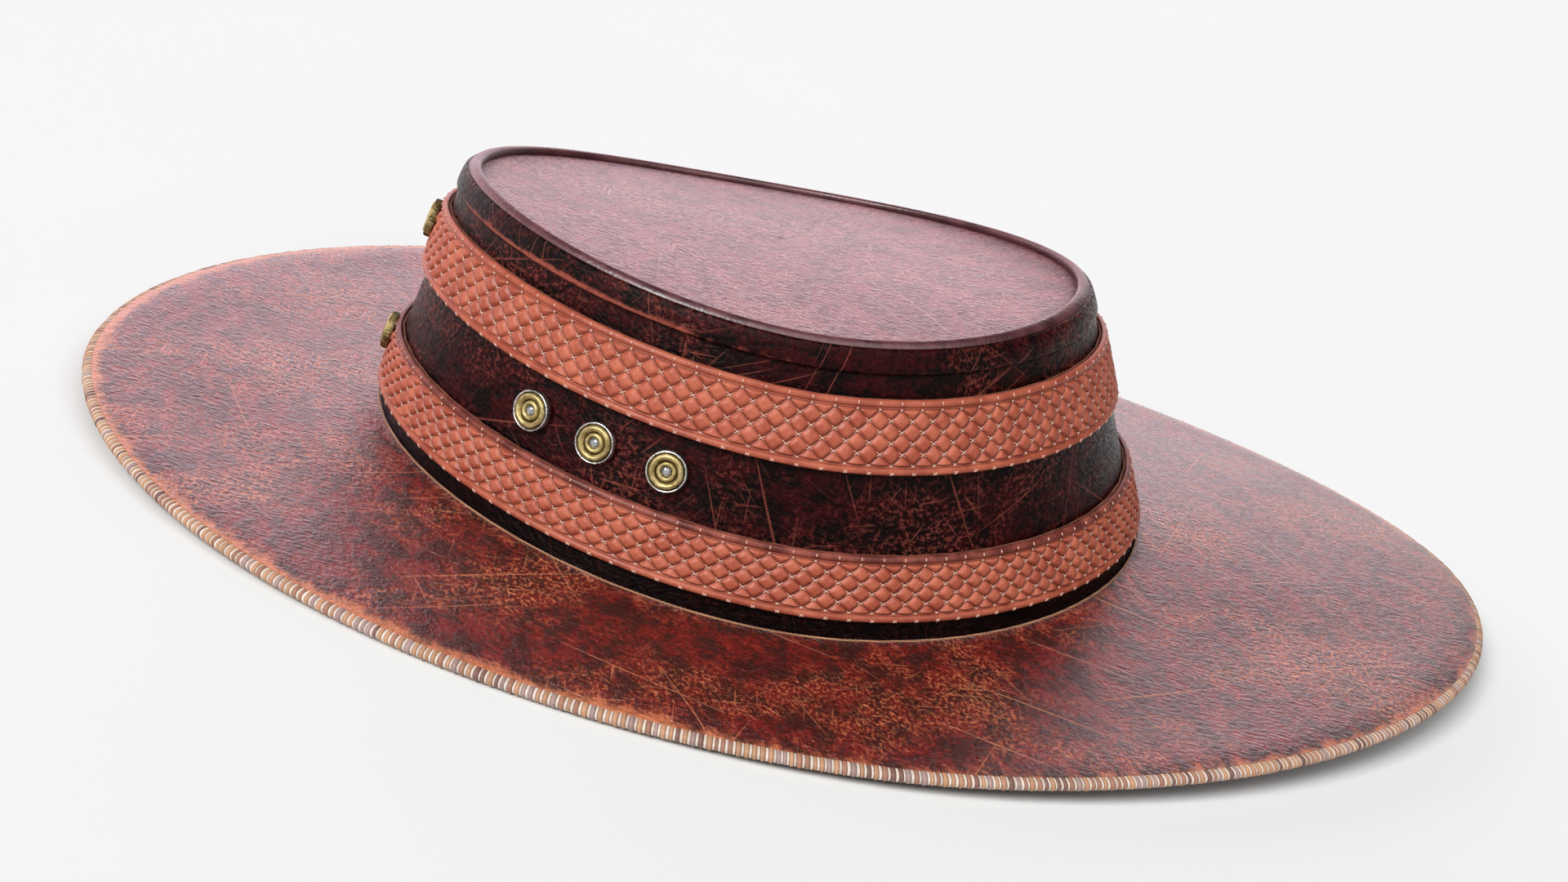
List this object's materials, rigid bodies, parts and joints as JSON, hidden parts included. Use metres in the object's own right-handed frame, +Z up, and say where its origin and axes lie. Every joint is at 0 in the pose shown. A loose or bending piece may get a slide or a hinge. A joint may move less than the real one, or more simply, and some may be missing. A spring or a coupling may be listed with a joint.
{
  "type": "pirate hat",
  "caption": "Wide-brimmed leather pirate hat with a low oval crown, quilted bands, ring buttons and a laced brim edge, worn with costume or masquerade dress.",
  "frame": {"origin": "under the middle of the brim's outline, on the surface that the brim's lowest edge rests on", "axes": "+Z is up out of the crown's tip; +X runs along the hat's length, towards the end the crown leans away from; +Y completes a right-handed frame, so the three crown buttons are on the -Y side"},
  "size_m": [0.3836, 0.2978, 0.0772],
  "materials": {
    "crown_leather": "worn, burnished, dark oxblood",
    "tip_leather": "flat panel with a dull mauve bloom",
    "piping_leather": "smooth, slightly polished",
    "brim_leather": "mottled oxblood with a rubbed orange edge",
    "underside_leather": "plain, little worn",
    "lace": "thin laces, cream to tan-brown, close wound",
    "buckram": "stiff sized cloth",
    "wire": "drawn",
    "lining": "satin",
    "tape": "woven tape",
    "sweat_leather": "smooth vegetable-tanned",
    "ribbon": "grosgrain",
    "base_cord": "twisted cord",
    "quilted_leather": "quilted, matt terracotta",
    "wadding": "soft wadding",
    "band_backing": "suede side",
    "band_roll": "rolled edge, matt",
    "button_brass": "aged, satin",
    "button_stone": "cut stone, bright",
    "button_nut": "satin"
  },
  "bodies": {
    "hat": {"crown_side": "crown_leather", "crown_tip": "tip_leather", "crown_tip_piping": "piping_leather", "crown_cap_collar": "crown_leather", "crown_stiffener": "buckram", "tip_stiffener": "buckram", "crown_seam_tape": "tape", "crown_lining_side": "lining", "crown_lining_tip": "lining", "sweatband": "sweat_leather", "sweatband_reed": "ribbon", "sweatband_bow": "ribbon", "crown_foot_flange": "crown_leather", "crown_base_cord": "base_cord", "brim_top": "brim_leather", "brim_board": "buckram", "brim_underside": "underside_leather", "brim_wire": "wire", "brim_binding": "lace"},
    "upper_band": {"upper_band_face": "quilted_leather", "upper_band_padding": "wadding", "upper_band_backing": "band_backing", "upper_band_top_roll": "band_roll", "upper_band_bottom_roll": "band_roll"},
    "lower_band": {"lower_band_face": "quilted_leather", "lower_band_padding": "wadding", "lower_band_backing": "band_backing", "lower_band_top_roll": "band_roll", "lower_band_bottom_roll": "band_roll"},
    "left_button": {"left_button_head": "button_brass", "left_button_stone": "button_stone", "left_button_nut": "button_nut"},
    "middle_button": {"middle_button_head": "button_brass", "middle_button_stone": "button_stone", "middle_button_nut": "button_nut"},
    "right_button": {"right_button_head": "button_brass", "right_button_stone": "button_stone", "right_button_nut": "button_nut"},
    "upper_band_button": {"upper_band_button_head": "button_brass", "upper_band_button_stone": "button_stone", "upper_band_button_nut": "button_nut"},
    "lower_band_button": {"lower_band_button_head": "button_brass", "lower_band_button_stone": "button_stone", "lower_band_button_nut": "button_nut"}
  },
  "joints": [
    {"name": "upper_band_lift", "type": "slide", "parent": "hat", "child": "upper_band", "axis": [0, 0, 1], "range_m": [0, 0.04]},
    {"name": "lower_band_lift", "type": "slide", "parent": "hat", "child": "lower_band", "axis": [0, 0, 1], "range_m": [0, 0.0025]},
    {"name": "left_button_turn", "type": "hinge", "parent": "hat", "child": "left_button", "pos_m": [-0.08371, -0.06278, 0.03474], "axis": [-0.6392, -0.7491, 0.1741], "continuous": true},
    {"name": "middle_button_turn", "type": "hinge", "parent": "hat", "child": "middle_button", "pos_m": [-0.06931, -0.0732, 0.03399], "axis": [-0.4991, -0.8477, 0.18], "continuous": true},
    {"name": "right_button_turn", "type": "hinge", "parent": "hat", "child": "right_button", "pos_m": [-0.0533, -0.08099, 0.03344], "axis": [-0.3475, -0.9179, 0.1915], "continuous": true},
    {"name": "upper_band_button_turn", "type": "hinge", "parent": "upper_band", "child": "upper_band_button", "pos_m": [-0.11213, 0.00068, 0.05509], "axis": [-0.98, 0.0918, 0.1767], "continuous": true},
    {"name": "lower_band_button_turn", "type": "hinge", "parent": "lower_band", "child": "lower_band_button", "pos_m": [-0.11788, 0.0006, 0.02331], "axis": [-0.9803, 0.0879, 0.1769], "continuous": true}
  ]
}
